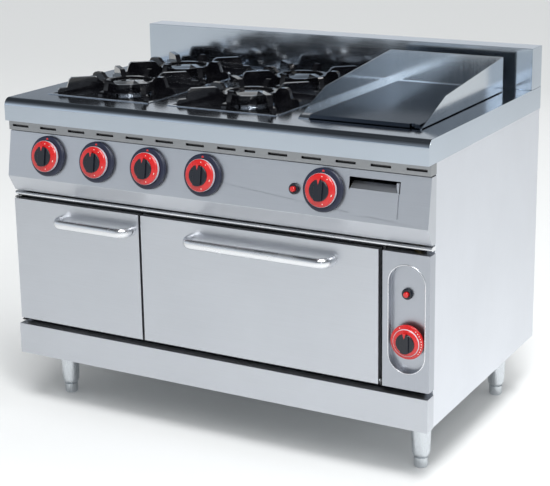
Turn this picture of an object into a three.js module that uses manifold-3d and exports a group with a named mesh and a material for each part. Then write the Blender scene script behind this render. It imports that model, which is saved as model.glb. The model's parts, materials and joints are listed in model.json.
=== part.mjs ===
// Commercial gas range: four open burners, a griddle, an oven and a side cabinet.
// Millimetres, +Z up, front towards -Y, origin on the floor under the middle of the range.
// Depths (y) are first measured from the front plane of the worktop apron; the group then
// shifts everything so that the origin is in the middle of the overall depth.
import * as THREE from "three";
import { mergeVertices } from "three/addons/utils/BufferGeometryUtils.js";
import Module from "manifold-3d";

const wasm = await Module();
wasm.setup();

// ---- Driving dimensions -------------------------------------------------------------------
const HALF_W = 600;
const DEPTH = 750;
const WORKTOP_Z = 850;
const APRON_BOTTOM_Z = 791;
const BACKGUARD_Z = 960;
const BACKGUARD_DEPTH = 72;
const BASE_Z = 146;
const SHEET = 2;
const GAP = 0.3;
const NOSE_R = 20;

// Cabinet front
const FACADE_BACK_Y = 45;
const SIDE_X = 598;
const PLINTH = { y: 8, top: 230 };
const PANEL = { topY: 19, topZ: 762, lowY: -1, lowZ: 643, endY: 24, endZ: 600 };
const STRIP = { y: 14, bottom: 764.5, top: 790.5, slotZ: 777, slotH: 6, slotLength: 52 };
// Slots in the strip: how many, the first centre, the pitch, and the length.
const SLOT_ROWS = [
  { count: 8, first: -562, pitch: 89.5, length: STRIP.slotLength },
  { count: 1, first: 130, pitch: 0, length: 30 },
  { count: 5, first: 206, pitch: 89.7, length: STRIP.slotLength },
];
const RAIL = { y: 22, bottom: 586, top: 596 };
const DOOR = { front: 16, back: 34, bottom: 244, top: 578 };
const CABINET_DOOR_X = [-598, -203];
const OVEN_DOOR_X = [-197, 469];
const COLUMN = { x: [480, 600], y: 14, floorY: 30 };
const FRAME_Y = [38, 40];
const CABINET_OPENING = { x: [-586, -222], z: [262, 560] };
const OVEN_OPENING = { x: [-170, 442], z: [268, 556] };

// Controls
const TOP_KNOB_X = [-470, -315, -159, 2, 332];
const KNOB_Z = 706;
const OVEN_KNOB = { x: 544, z: 363, scale: 1.1 };
const PANEL_BUTTON = { x: 254, z: 700 };
const OVEN_BUTTON = { x: 538, z: 476 };
const DISH = { x: [495, 589], z: [284, 550] };
const SHAFT_HOLE_R = 9;
const BUTTON_HOLE_R = 9.5;
// The drawer comes out through a tray opening with a wider slot for the hand above it.
const DRAWER = { trayX: [406, 518], slotX: [395, 524], bottom: 661, slotZ: [715.5, 744] };

// Cooking surface
const PAN_X = [-372.5, 1];
const PAN = { halfX: 158, y: [95, 665], wellHalfX: 148, wellY: [105, 655], floorZ: 843, sheet: 1.5 };
const BURNER_Y = [243, 517];
const PAN_HOLE_R = 66;
const TRIVET = { halfX: 145, halfY: 134, baseZ: 845, stepZ: 864, topZ: 891, ringZ: [852, 875] };
const TRIVET_RING_R = [60, 73];
const FIN_T = 14;
const GRIDDLE = { x: [246, 531.5], y: [97, 612], top: 861, bottom: 841, gutterBack: 104, gutterZ: 846 };
const GUARD = { x: [217, 537.5], back: 627, tipY: 98, bendY: 241, bendZ: 905, top: 942, ledgeZ: 860.4 };
const DRAIN = { x: 512, y: 106 };

// Oven
const LINER = { x: [-185, 457], y: [40.3, 645], z: [262, 564] };
const FLOOR_PLATE_Z = 300;
const RACK_Z = 421;
const OVEN_BURNER_Z = 282;

// Feet and gas pipe
const FOOT_X = 532;
const FOOT_Y = [131, 645];
const MANIFOLD = { y: 82, z: 694, inletX: -560, inletZ: 640, r: 13 };
const INLET_END_Y = 780;

// Handles
const HANDLE = { z: 535, barY: -23, halfHeight: 12.5, halfDepth: 8, bend: 26 };
const HANDLE_SPANS = { cabinet: [-445, -220], oven: [-48, 353] };

const FRONT_REACH = HANDLE.halfDepth - HANDLE.barY;
const CENTRE_Y = (INLET_END_Y - FRONT_REACH) / 2;

// ---- Solid helpers --------------------------------------------------------------------------
function withoutSlivers(index) {
  const kept = [];
  for (let i = 0; i < index.length; i += 3) {
    const [a, b, c] = [index[i], index[i + 1], index[i + 2]];
    if (a !== b && b !== c && c !== a) kept.push(a, b, c);
  }
  return new Uint32Array(kept);
}

function solid(geometry) {
  const bare = new THREE.BufferGeometry();
  bare.setAttribute("position", geometry.getAttribute("position").clone());
  if (geometry.index) bare.setIndex(geometry.index.clone());
  const merged = mergeVertices(bare, 1e-3);
  const made = new wasm.Manifold(new wasm.Mesh({
    numProp: 3,
    vertProperties: new Float32Array(merged.getAttribute("position").array),
    triVerts: withoutSlivers(merged.index.array),
  }));
  if (made.volume() <= 0) throw new Error("a shape is empty or inside out");
  return made;
}

function geometryOf(made) {
  const mesh = made.getMesh();
  const geometry = new THREE.BufferGeometry();
  geometry.setAttribute("position", new THREE.BufferAttribute(new Float32Array(mesh.vertProperties), 3));
  geometry.setIndex(new THREE.BufferAttribute(new Uint32Array(mesh.triVerts), 1));
  geometry.computeVertexNormals();
  return geometry;
}

function join(...solids) {
  return solids.reduce((whole, piece) => whole.add(piece));
}

function cut(whole, ...tools) {
  return tools.reduce((left, tool) => left.subtract(tool), whole);
}

function block([x0, x1], [y0, y1], [z0, z1]) {
  const geometry = new THREE.BoxGeometry(x1 - x0, y1 - y0, z1 - z0);
  geometry.translate((x0 + x1) / 2, (y0 + y1) / 2, (z0 + z1) / 2);
  return solid(geometry);
}

// A rod of round section between two points.
function rod(r, from, to, sides = 14) {
  const start = new THREE.Vector3(...from);
  const end = new THREE.Vector3(...to);
  const along = end.clone().sub(start);
  const geometry = new THREE.CylinderGeometry(r, r, along.length(), sides);
  const turn = new THREE.Quaternion().setFromUnitVectors(new THREE.Vector3(0, 1, 0), along.clone().normalize());
  geometry.applyQuaternion(turn);
  const middle = start.add(end).multiplyScalar(0.5);
  geometry.translate(middle.x, middle.y, middle.z);
  return solid(geometry);
}

function outline(points) {
  return new THREE.Shape(points.map(([u, v]) => new THREE.Vector2(u, v)));
}

function extruded(shape, length, curveSegments) {
  return new THREE.ExtrudeGeometry(shape, { depth: length, bevelEnabled: false, curveSegments });
}

// A (y, z) outline extruded from x0 to x1.
function alongX(shape, x0, x1, curveSegments = 6) {
  const geometry = extruded(shape, x1 - x0, curveSegments);
  const axes = new THREE.Matrix4().makeBasis(
    new THREE.Vector3(0, 1, 0),
    new THREE.Vector3(0, 0, 1),
    new THREE.Vector3(1, 0, 0),
  );
  geometry.applyMatrix4(axes);
  geometry.translate(x0, 0, 0);
  return solid(geometry);
}

// An (x, z) outline extruded from y0 to y1.
function alongY(shape, y0, y1, curveSegments = 6) {
  const geometry = extruded(shape, y1 - y0, curveSegments);
  geometry.rotateX(Math.PI / 2);
  geometry.translate(0, y1, 0);
  return solid(geometry);
}

// An (r, h) profile turned about the Z axis; it starts and ends on the axis, top last.
function turned(profile, sides = 20) {
  const geometry = new THREE.LatheGeometry(profile.map(([r, h]) => new THREE.Vector2(r, h)), sides);
  geometry.rotateX(Math.PI / 2);
  return solid(geometry);
}

function moved(made, x, y, z) {
  return made.translate([x, y, z]);
}

// A tube of round section along a smooth curve through the given points.
function bentTube(r, points) {
  const path = new THREE.CatmullRomCurve3(points.map((p) => new THREE.Vector3(...p)), false, "centripetal");
  const section = new THREE.Shape().absarc(0, 0, r, 0, Math.PI * 2);
  return solid(new THREE.ExtrudeGeometry(section, { steps: 8, extrudePath: path, curveSegments: 4 }));
}

// A closed solid through rings of points, flat at both ends.
function loft(rings) {
  const count = rings[0].length;
  const last = (rings.length - 1) * count;
  const index = [];
  for (let start = 0; start < last; start += count) {
    for (let i = 0; i < count; i += 1) {
      const a = start + i;
      const b = start + ((i + 1) % count);
      index.push(a, b, b + count, a, b + count, a + count);
    }
  }
  for (let i = 1; i + 1 < count; i += 1) {
    index.push(0, i + 1, i, last, last + i, last + i + 1);
  }
  const geometry = new THREE.BufferGeometry();
  geometry.setAttribute("position", new THREE.Float32BufferAttribute(rings.flat(2), 3));
  geometry.setIndex(index);
  return solid(geometry);
}

// Straight pipes between the points, with a round elbow fitting at each corner.
function pipeRun(r, points) {
  const legs = points.slice(1).map((point, i) => rod(r, points[i], point, 8));
  const elbows = points.slice(1, -1).map(([x, y, z]) => {
    const ball = solid(new THREE.SphereGeometry(r * 1.35, 8, 5));
    return moved(ball, x, y, z);
  });
  return join(...legs, ...elbows);
}

// ---- Control axes ---------------------------------------------------------------------------
const panelRise = PANEL.topZ - PANEL.lowZ;
const panelLean = PANEL.topY - PANEL.lowY;
const panelTilt = Math.atan2(panelLean, panelRise);
const panelFaceY = (z) => PANEL.lowY + ((z - PANEL.lowZ) / panelRise) * panelLean;
// The way out of the tilted panel, and the way out of the upright column.
const OUT_OF_PANEL = [0, -Math.cos(panelTilt), Math.sin(panelTilt)];
const OUT_OF_COLUMN = [0, -1, 0];

// A point at a distance out of a control's face (negative is behind it).
function fromFace(control, out) {
  return [control.x, control.y + control.out[1] * out, control.z + control.out[2] * out];
}

function onPanel(x, z) {
  return { x, y: panelFaceY(z), z, out: OUT_OF_PANEL, tilt: panelTilt, scale: 1 };
}

function onColumn({ x, z, scale = 1 }) {
  return { x, y: COLUMN.floorY, z, out: OUT_OF_COLUMN, tilt: 0, scale };
}

const topKnobs = TOP_KNOB_X.map((x) => onPanel(x, KNOB_Z));
const ovenKnob = onColumn(OVEN_KNOB);
const panelButton = onPanel(PANEL_BUTTON.x, PANEL_BUTTON.z);
const ovenButton = onColumn(OVEN_BUTTON);

function hole(control, r) {
  return rod(r, fromFace(control, 12), fromFace(control, -30));
}

// The sleeve behind the sheet that guides an igniter button.
function sleeve(control) {
  return rod(BUTTON_HOLE_R + 2.5, fromFace(control, -1), fromFace(control, -18));
}

// ---- Casing ---------------------------------------------------------------------------------
function apronOutline(inset, bottom) {
  const r = NOSE_R - inset;
  const shape = new THREE.Shape();
  shape.moveTo(inset, bottom);
  shape.lineTo(DEPTH - inset, bottom);
  shape.lineTo(DEPTH - inset, WORKTOP_Z - inset);
  shape.lineTo(NOSE_R, WORKTOP_Z - inset);
  shape.absarc(NOSE_R, WORKTOP_Z - NOSE_R, r, Math.PI / 2, Math.PI, false);
  return shape;
}

function worktop() {
  const shell = cut(
    alongX(apronOutline(0, APRON_BOTTOM_Z), -HALF_W, HALF_W, 8),
    alongX(apronOutline(SHEET, APRON_BOTTOM_Z - 1), SHEET - HALF_W, HALF_W - SHEET, 8),
  );
  const through = [WORKTOP_Z - 10, WORKTOP_Z + 10];
  const panCuts = PAN_X.map((x) => block(
    [x - PAN.wellHalfX - 3, x + PAN.wellHalfX + 3],
    [PAN.wellY[0] - 3, PAN.wellY[1] + 3],
    through,
  ));
  const griddleCut = block([GRIDDLE.x[0] - 2, GRIDDLE.x[1] + 2], [GRIDDLE.y[0] - 2, GRIDDLE.y[1] + 2], through);
  return cut(shell, ...panCuts, griddleCut);
}

function backguard() {
  const frontY = DEPTH - BACKGUARD_DEPTH;
  const bottom = WORKTOP_Z + GAP;
  return cut(
    block([-HALF_W, HALF_W], [frontY, DEPTH], [bottom, BACKGUARD_Z]),
    block([SHEET - HALF_W, HALF_W - SHEET], [frontY + SHEET, DEPTH - SHEET], [bottom - 1, BACKGUARD_Z - SHEET]),
  );
}

function sidePanel(side) {
  const outer = side * SIDE_X;
  const inner = side * (SIDE_X - SHEET);
  const returnX = side * (SIDE_X - 20);
  const x = [Math.min(outer, inner), Math.max(outer, inner)];
  const returnSpan = [Math.min(outer, returnX), Math.max(outer, returnX)];
  const frontY = FACADE_BACK_Y + GAP;
  const top = APRON_BOTTOM_Z - GAP;
  return join(
    block(x, [frontY, DEPTH], [BASE_Z, top]),
    block(returnSpan, [frontY, frontY + SHEET], [BASE_Z + 30, STRIP.bottom - 4]),
  );
}

function backPanel() {
  const x = SIDE_X - SHEET - 1;
  const plate = block([-x, x], [DEPTH - SHEET, DEPTH], [BASE_Z, APRON_BOTTOM_Z - GAP]);
  const slots = [];
  const slotPitch = 90;
  for (let i = -4; i <= 4; i += 1) {
    slots.push(block([i * slotPitch - 30, i * slotPitch + 30], [DEPTH - 10, DEPTH + 10], [742, 752]));
  }
  const inlet = rod(
    MANIFOLD.r + 5,
    [MANIFOLD.inletX, DEPTH - 10, MANIFOLD.inletZ],
    [MANIFOLD.inletX, DEPTH + 10, MANIFOLD.inletZ],
  );
  return cut(plate, ...slots, inlet);
}

function baseFrame() {
  const x = SIDE_X - SHEET - 1;
  const y = [PLINTH.y + 4, DEPTH - SHEET - 1];
  const z = [BASE_Z + 4, BASE_Z + 26];
  return cut(
    block([-x, x], y, z),
    block([SHEET - x, x - SHEET], [y[0] + SHEET, y[1] - SHEET], [z[0] + SHEET, z[1] + 1]),
  );
}

// A folded facing that is open at the back.
function facing([x0, x1], y0, [z0, z1]) {
  return cut(
    block([x0, x1], [y0, FACADE_BACK_Y], [z0, z1]),
    block([x0 + SHEET, x1 - SHEET], [y0 + SHEET, FACADE_BACK_Y + 1], [z0 + SHEET, z1 - SHEET]),
  );
}

function plinthPanel() {
  return facing([-HALF_W, HALF_W], PLINTH.y, [BASE_Z, PLINTH.top]);
}

function ventStrip() {
  const shell = cut(
    block([GAP - HALF_W, HALF_W - GAP], [STRIP.y, FACADE_BACK_Y], [STRIP.bottom, STRIP.top]),
    block(
      [SHEET - HALF_W, HALF_W - SHEET],
      [STRIP.y + SHEET, FACADE_BACK_Y + 1],
      [STRIP.bottom - 1, STRIP.top - SHEET],
    ),
  );
  const slots = [];
  for (const { count, first, pitch, length } of SLOT_ROWS) {
    for (let i = 0; i < count; i += 1) {
      const x = first + i * pitch;
      slots.push(block(
        [x - length / 2, x + length / 2],
        [STRIP.y - 5, STRIP.y + 5],
        [STRIP.slotZ - STRIP.slotH / 2, STRIP.slotZ + STRIP.slotH / 2],
      ));
    }
  }
  return cut(shell, ...slots);
}

function controlPanel() {
  const back = FACADE_BACK_Y;
  const outer = outline([
    [back, PANEL.endZ],
    [back, PANEL.topZ],
    [PANEL.topY, PANEL.topZ],
    [PANEL.lowY, PANEL.lowZ],
    [PANEL.endY, PANEL.endZ],
  ]);
  const inner = outline([
    [back + 1, PANEL.endZ + SHEET],
    [back + 1, PANEL.topZ - SHEET],
    [PANEL.topY + SHEET, PANEL.topZ - SHEET],
    [PANEL.lowY + SHEET * 1.3, PANEL.lowZ],
    [PANEL.endY + SHEET * 0.6, PANEL.endZ + SHEET],
  ]);
  const shell = cut(alongX(outer, -HALF_W, HALF_W), alongX(inner, SHEET - HALF_W, HALF_W - SHEET));
  const [x0, x1] = DRAWER.trayX;
  const drawerHole = join(
    block([x0, x1], [-30, 40], [DRAWER.bottom, DRAWER.slotZ[0] + 1]),
    block(DRAWER.slotX, [-30, 40], DRAWER.slotZ),
  );
  const shaftHoles = topKnobs.map((knob) => hole(knob, SHAFT_HOLE_R));
  const opened = cut(join(shell, sleeve(panelButton)), ...shaftHoles, hole(panelButton, BUTTON_HOLE_R), drawerHole);
  // Angle runners that carry the grease drawer.
  const runnerLow = DRAWER.bottom + 0.5;
  const runners = [[x0 - 3, x0 - 1, x0 + 8], [x1 + 1, x1 + 3, x1 - 8]].flatMap(([web0, web1, foot]) => [
    block([web0, web1], [3, 330], [runnerLow - SHEET, runnerLow + 30]),
    block([Math.min(web0, foot), Math.max(web1, foot)], [8, 330], [runnerLow - SHEET, runnerLow]),
  ]);
  const notFront = cut(join(...runners), alongX(outline([
    [-60, PANEL.endZ],
    [PANEL.lowY + 1, PANEL.lowZ],
    [PANEL.topY + 1, PANEL.topZ],
    [-60, PANEL.topZ],
  ]), x0 - 20, x1 + 20));
  return join(opened, notFront);
}

function trimRail() {
  const r = (RAIL.top - RAIL.bottom) / 2;
  const shape = new THREE.Shape();
  shape.moveTo(FACADE_BACK_Y, RAIL.bottom);
  shape.lineTo(FACADE_BACK_Y, RAIL.top);
  shape.absarc(RAIL.y + r, RAIL.bottom + r, r, Math.PI / 2, (3 * Math.PI) / 2, false);
  return alongX(shape, GAP - HALF_W, HALF_W - GAP, 8);
}

function stadium([x0, x1], [z0, z1]) {
  const r = (x1 - x0) / 2;
  const x = (x0 + x1) / 2;
  const shape = new THREE.Shape();
  shape.absarc(x, z1 - r, r, 0, Math.PI, false);
  shape.absarc(x, z0 + r, r, Math.PI, Math.PI * 2, false);
  return shape;
}

function ovenColumnPanel() {
  const { x, z } = DISH;
  const grown = ([a, b]) => [a - SHEET, b + SHEET];
  const segments = 9;
  const shell = facing(COLUMN.x, COLUMN.y, [DOOR.bottom, DOOR.top]);
  const dish = alongY(stadium(grown(x), grown(z)), COLUMN.y, COLUMN.floorY + SHEET, segments);
  const recess = alongY(stadium(x, z), COLUMN.y - 5, COLUMN.floorY, segments);
  const pressed = cut(join(shell, dish), recess);
  return cut(join(pressed, sleeve(ovenButton)), hole(ovenKnob, SHAFT_HOLE_R), hole(ovenButton, BUTTON_HOLE_R));
}

// ---- Front frame, with the tabs that hold the door pins --------------------------------------
const CABINET_PIN = { x: -592, y: 24, r: 3 };
const OVEN_PIN = { y: 24, z: 252, r: 3 };
const PIN_PLAY = 0.5;
const CABINET_TAB_Z = [[237, 240], [580.5, 583.5]];
const OVEN_TAB_X = [[-201.4, -198.6], [473, 476]];

function frontFrame() {
  const y = FRAME_Y;
  const plate = block([-SIDE_X + SHEET, COLUMN.x[0] - 2], y, [PLINTH.top + 2, RAIL.bottom - 2]);
  const openings = [CABINET_OPENING, OVEN_OPENING].map(({ x, z }) => block(x, [y[0] - 5, y[1] + 5], z));
  const tabY = [18, y[0] + 1];
  const cabinetTabs = CABINET_TAB_Z.map((z) => cut(
    block([CABINET_PIN.x - 5, CABINET_PIN.x + 8], tabY, z),
    rod(CABINET_PIN.r + PIN_PLAY, [CABINET_PIN.x, CABINET_PIN.y, z[0] - 5], [CABINET_PIN.x, CABINET_PIN.y, z[1] + 5]),
  ));
  const ovenTabs = OVEN_TAB_X.map((x) => cut(
    block(x, tabY, [OVEN_PIN.z - 8, OVEN_PIN.z + 8]),
    rod(OVEN_PIN.r + PIN_PLAY, [x[0] - 5, OVEN_PIN.y, OVEN_PIN.z], [x[1] + 5, OVEN_PIN.y, OVEN_PIN.z]),
  ));
  return join(cut(plate, ...openings), ...cabinetTabs, ...ovenTabs);
}

function centreDivider() {
  return block([-208, -206], [FACADE_BACK_Y + GAP, DEPTH - 6], [BASE_Z + 7, RAIL.bottom]);
}

function cabinetFloor() {
  const x = [-594, -209];
  const y = [FRAME_Y[1] + GAP + 8, DEPTH - 8];
  return cut(
    block(x, y, [234, 258]),
    block([x[0] + SHEET, x[1] - SHEET], [y[0] + SHEET, y[1] - SHEET], [233, 256]),
  );
}

// ---- Doors ------------------------------------------------------------------------------------
function doorShell([x0, x1]) {
  return cut(
    block([x0, x1], [DOOR.front, DOOR.back], [DOOR.bottom, DOOR.top]),
    block([x0 + SHEET, x1 - SHEET], [DOOR.front + SHEET, DOOR.back + 1], [DOOR.bottom + SHEET, DOOR.top - SHEET]),
  );
}

function insideDoor([x0, x1]) {
  const inset = SHEET + GAP;
  return block([x0 + inset, x1 - inset], [DOOR.back - SHEET, DOOR.back], [DOOR.bottom + inset, DOOR.top - inset]);
}

function cabinetDoorSkin() {
  const { x, y, r } = CABINET_PIN;
  const pins = [[CABINET_TAB_Z[0][0] - 1, DOOR.bottom + 1], [DOOR.top - 1, CABINET_TAB_Z[1][1] + 1]];
  return join(doorShell(CABINET_DOOR_X), ...pins.map(([low, high]) => rod(r, [x, y, low], [x, y, high], 12)));
}

function cabinetDoorLiner() {
  return cut(
    insideDoor(CABINET_DOOR_X),
    block([-560, -240], [DOOR.back - 1, DOOR.back + 1], [282, 540]),
  );
}

function ovenDoorSkin() {
  const { y, z, r } = OVEN_PIN;
  const pins = [[OVEN_TAB_X[0][0] - 0.8, OVEN_DOOR_X[0] + 1], [OVEN_DOOR_X[1] - 1, OVEN_TAB_X[1][1] + 2]];
  return join(doorShell(OVEN_DOOR_X), ...pins.map(([low, high]) => rod(r, [low, y, z], [high, y, z], 12)));
}

const PLUG = { x: [-160, 432], z: [272, 552], back: 60 };

function ovenDoorLiner() {
  const inner = ([a, b]) => [a + SHEET, b - SHEET];
  return cut(
    join(insideDoor(OVEN_DOOR_X), block(PLUG.x, [DOOR.back - SHEET, PLUG.back], PLUG.z)),
    block(inner(PLUG.x), [DOOR.back - 10, PLUG.back - SHEET], inner(PLUG.z)),
  );
}

function ovenDoorGasket() {
  const y = [DOOR.back + GAP, FRAME_Y[0] - GAP];
  const grown = ([a, b], by) => [a - by, b + by];
  return cut(
    block(grown(PLUG.x, 18), y, grown(PLUG.z, 12)),
    block(grown(PLUG.x, 4), [y[0] - 1, y[1] + 1], grown(PLUG.z, 4)),
  );
}

function bowHandle([x0, x1]) {
  const { z, barY, bend, halfHeight, halfDepth } = HANDLE;
  const footY = DOOR.front - GAP;
  const bendSteps = 5;
  const sides = 16;
  // Stations along the left half: the foot, then round the bend to the start of the bar.
  const half = [{ x: x0, y: footY, turn: 0 }];
  for (let i = 0; i <= bendSteps; i += 1) {
    const turn = (i / bendSteps) * (Math.PI / 2);
    half.push({ x: x0 + bend * (1 - Math.cos(turn)), y: barY + bend * (1 - Math.sin(turn)), turn });
  }
  const mirrored = [...half].reverse().map(({ x, y, turn }) => ({ x: x0 + x1 - x, y, turn: Math.PI - turn }));
  const rings = [...half, ...mirrored].map((station) => {
    const ring = [];
    for (let i = 0; i < sides; i += 1) {
      const angle = (i / sides) * Math.PI * 2;
      const across = halfDepth * Math.cos(angle);
      ring.push([
        station.x + across * Math.cos(station.turn),
        station.y + across * Math.sin(station.turn),
        z + halfHeight * Math.sin(angle),
      ]);
    }
    return ring;
  });
  return loft(rings);
}

// ---- Oven ---------------------------------------------------------------------------------------
function ovenLiner() {
  const { x, y, z } = LINER;
  const shell = cut(
    block(x, y, z),
    block([x[0] + SHEET, x[1] - SHEET], [y[0] - 1, y[1] - SHEET], [z[0] + SHEET, z[1] - SHEET]),
  );
  const ledges = [FLOOR_PLATE_Z, RACK_Z].flatMap((top) => [
    block([x[0] + 1, x[0] + 16], [75, 630], [top - 4, top]),
    block([x[1] - 16, x[1] - 1], [75, 630], [top - 4, top]),
  ]);
  const flue = block([40, 232], [y[1] - 10, y[1] + 10], [520, 545]);
  const burnerHole = rod(16, [x[1] - 10, 110, OVEN_BURNER_Z], [x[1] + 10, 110, OVEN_BURNER_Z]);
  return cut(join(shell, ...ledges), flue, burnerHole);
}

function ovenFloorPlate() {
  const x = [LINER.x[0] + 4, LINER.x[1] - 4];
  const plate = block(x, [80, 625], [FLOOR_PLATE_Z + GAP, FLOOR_PLATE_Z + 3]);
  const slots = [];
  for (let i = -3; i <= 3; i += 1) {
    const y = 350 + i * 70;
    slots.push(block([x[0] + 30, x[0] + 38], [y - 20, y + 20], [295, 310]));
    slots.push(block([x[1] - 38, x[1] - 30], [y - 20, y + 20], [295, 310]));
  }
  return cut(plate, ...slots);
}

function ovenBurner() {
  const bar = rod(14, [136, 90, OVEN_BURNER_Z], [136, 590, OVEN_BURNER_Z], 12);
  const mixingTube = rod(12, [136, 110, OVEN_BURNER_Z], [496, 110, OVEN_BURNER_Z], 12);
  return join(bar, mixingTube);
}

function ovenRack() {
  const x = [LINER.x[0] + 5, LINER.x[1] - 5];
  const y = [140, 610];
  const z = RACK_Z + GAP + 3;
  const frame = [
    rod(3, [x[0] + 3, y[0], z], [x[0] + 3, y[1], z], 8),
    rod(3, [x[1] - 3, y[0], z], [x[1] - 3, y[1], z], 8),
    rod(3, [x[0], y[0] + 3, z], [x[1], y[0] + 3, z], 8),
    rod(3, [x[0], y[1] - 3, z], [x[1], y[1] - 3, z], 8),
  ];
  const wires = [];
  const wireCount = 14;
  for (let i = 1; i < wireCount; i += 1) {
    const wireX = x[0] + ((x[1] - x[0]) * i) / wireCount;
    wires.push(rod(2, [wireX, y[0] + 1, z], [wireX, y[1] - 1, z], 4));
  }
  return join(...frame, ...wires);
}

// ---- Burners, pans and trivets --------------------------------------------------------------------
function burnerBody(x, y, tube) {
  const head = turned([
    [0, 785],
    [34, 785],
    [42, 795],
    [42, 832],
    [57, 848],
    [57, 862],
    [46, 862],
    [40, 850],
    [0, 846],
  ]);
  return join(moved(head, x, y, 0), bentTube(10, tube));
}

function burnerCap(x, y) {
  const cap = turned([
    [0, 854],
    [34, 854],
    [36, 862 + GAP],
    [52, 862 + GAP],
    [53, 866],
    [48, 871],
    [20, 873],
    [0, 873],
  ]);
  return moved(cap, x, y, 0);
}

const TUBE_Z = 803;
const TUBE_MOUTH_Y = 120;
// Each mixing tube runs from its mouth behind a tap to its burner, past the other pots.
const MIXING_TUBES = {
  left_front: [[TOP_KNOB_X[0], TUBE_MOUTH_Y], [TOP_KNOB_X[0], 175], [-450, 225], [PAN_X[0] - 35, BURNER_Y[0]]],
  left_rear: [[TOP_KNOB_X[1], TUBE_MOUTH_Y], [TOP_KNOB_X[1], 390], [-335, 450], [PAN_X[0] + 5, BURNER_Y[1] - 30]],
  right_front: [[TOP_KNOB_X[2], TUBE_MOUTH_Y], [TOP_KNOB_X[2], 175], [-130, 225], [PAN_X[1] - 35, BURNER_Y[0]]],
  right_rear: [[TOP_KNOB_X[3], TUBE_MOUTH_Y], [60, 190], [62, 400], [PAN_X[1] + 5, BURNER_Y[1] - 30]],
};

function dripPan(x) {
  const { halfX, y, wellHalfX, wellY, floorZ, sheet } = PAN;
  const rimZ = WORKTOP_Z + GAP;
  const wellX = [x - wellHalfX, x + wellHalfX];
  const grown = ([a, b], by) => [a - by, b + by];
  const dished = cut(
    join(
      block([x - halfX, x + halfX], y, [rimZ, rimZ + sheet]),
      block(grown(wellX, sheet), grown(wellY, sheet), [floorZ, rimZ + sheet]),
    ),
    block(wellX, wellY, [floorZ + sheet, rimZ + 10]),
  );
  const ring = (r, z) => BURNER_Y.map((burnerY) => rod(r, [x, burnerY, z[0]], [x, burnerY, z[1]], 24));
  const collars = join(dished, ...ring(PAN_HOLE_R + sheet, [floorZ, floorZ + 7]));
  return cut(collars, ...ring(PAN_HOLE_R, [floorZ - 5, floorZ + 15]));
}

// One upright fin: a low foot at the outer end, a step up to the pot level, and a dip to the ring.
function fin(angle, length) {
  const { baseZ, stepZ, topZ, ringZ } = TRIVET;
  const ringR = (TRIVET_RING_R[0] + TRIVET_RING_R[1]) / 2;
  const shape = outline([
    [length, baseZ],
    [length, stepZ - 5],
    [length - 5, stepZ],
    [length - 24, stepZ + 1],
    [length - 31, topZ - 5],
    [length - 37, topZ],
    [ringR + 26, topZ],
    [ringR + 18, topZ - 3],
    [ringR + 10, ringZ[1] + 3],
    [ringR - 3, ringZ[1] - 1],
    [ringR - 3, ringZ[0] + 1],
    [ringR + 6, ringZ[0] + 1],
    [ringR + 6, baseZ],
  ]);
  const geometry = extruded(shape, FIN_T, 1);
  geometry.translate(0, 0, -FIN_T / 2);
  geometry.rotateX(Math.PI / 2);
  geometry.rotateZ(angle);
  return solid(geometry);
}

function trivet(x, y) {
  const { halfX, halfY, ringZ } = TRIVET;
  const ring = cut(
    rod(TRIVET_RING_R[1], [0, 0, ringZ[0]], [0, 0, ringZ[1]], 24),
    rod(TRIVET_RING_R[0], [0, 0, ringZ[0] - 5], [0, 0, ringZ[1] + 5], 24),
  );
  const diagonal = Math.hypot(halfX, halfY) - FIN_T / 2;
  const cornerAngle = Math.atan2(halfY, halfX);
  const fins = [0, Math.PI].flatMap((turn) => [
    fin(turn, halfX),
    fin(turn + Math.PI / 2, halfY),
    fin(turn + cornerAngle, diagonal),
    fin(turn - cornerAngle, diagonal),
  ]);
  return moved(join(ring, ...fins), x, y, 0);
}

// ---- Griddle --------------------------------------------------------------------------------------
function griddlePlate() {
  const { x, y, top, bottom, gutterBack, gutterZ } = GRIDDLE;
  const plate = join(block(x, [gutterBack, y[1]], [bottom, top]), block(x, y, [bottom, gutterZ]));
  const chute = rod(9, [DRAIN.x, DRAIN.y, 738], [DRAIN.x, DRAIN.y, bottom + 2]);
  const bore = rod(6.5, [DRAIN.x, DRAIN.y, 730], [DRAIN.x, DRAIN.y, top + 5]);
  return cut(join(plate, chute), bore);
}

function griddleGuard() {
  const { x, back, tipY, bendY, bendZ, top, ledgeZ } = GUARD;
  const floor = WORKTOP_Z + GAP;
  const side = outline([
    [tipY, floor],
    [back, floor],
    [back, top],
    [bendY, bendZ],
    [tipY, floor + SHEET],
  ]);
  const walls = cut(
    alongX(side, x[0], x[1]),
    block([x[0] + SHEET, x[1] - SHEET], [tipY - 10, back - SHEET], [floor - 1, top + 10]),
  );
  // Folded ledges close the spaces to the left of the plate and behind it.
  const plateX = GRIDDLE.x[0] - 0.6;
  const plateY = GRIDDLE.y[1] + 0.6;
  const rampY = tipY + 22;
  const leftLedge = alongX(outline([
    [tipY, floor],
    [back, floor],
    [back, ledgeZ],
    [rampY, ledgeZ],
    [tipY, floor + SHEET],
  ]), x[0], plateX);
  const ledges = join(leftLedge, block(x, [plateY, back], [floor, ledgeZ]));
  const under = [floor - 1, ledgeZ - SHEET];
  const hollows = [
    block([x[0] + SHEET, plateX - SHEET], [rampY + 4, back - SHEET], under),
    block([x[0] + SHEET, x[1] - SHEET], [plateY + SHEET, back - SHEET], under),
  ];
  // The right wall stands a little clear of the worktop.
  const footGap = block([x[1] - SHEET - 1, x[1] + 1], [tipY + 4, back - 4], [floor - 1, floor + 2.5]);
  return cut(join(walls, cut(ledges, ...hollows)), footGap);
}

function griddleBurner() {
  const z = TUBE_Z;
  const legs = [TOP_KNOB_X[4], 462];
  return join(
    rod(13, [legs[0], TUBE_MOUTH_Y, z], [legs[0], 560, z], 12),
    rod(13, [legs[1], 150, z], [legs[1], 560, z], 12),
    rod(13, [legs[0], 170, z], [legs[1], 170, z], 12),
  );
}

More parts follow.
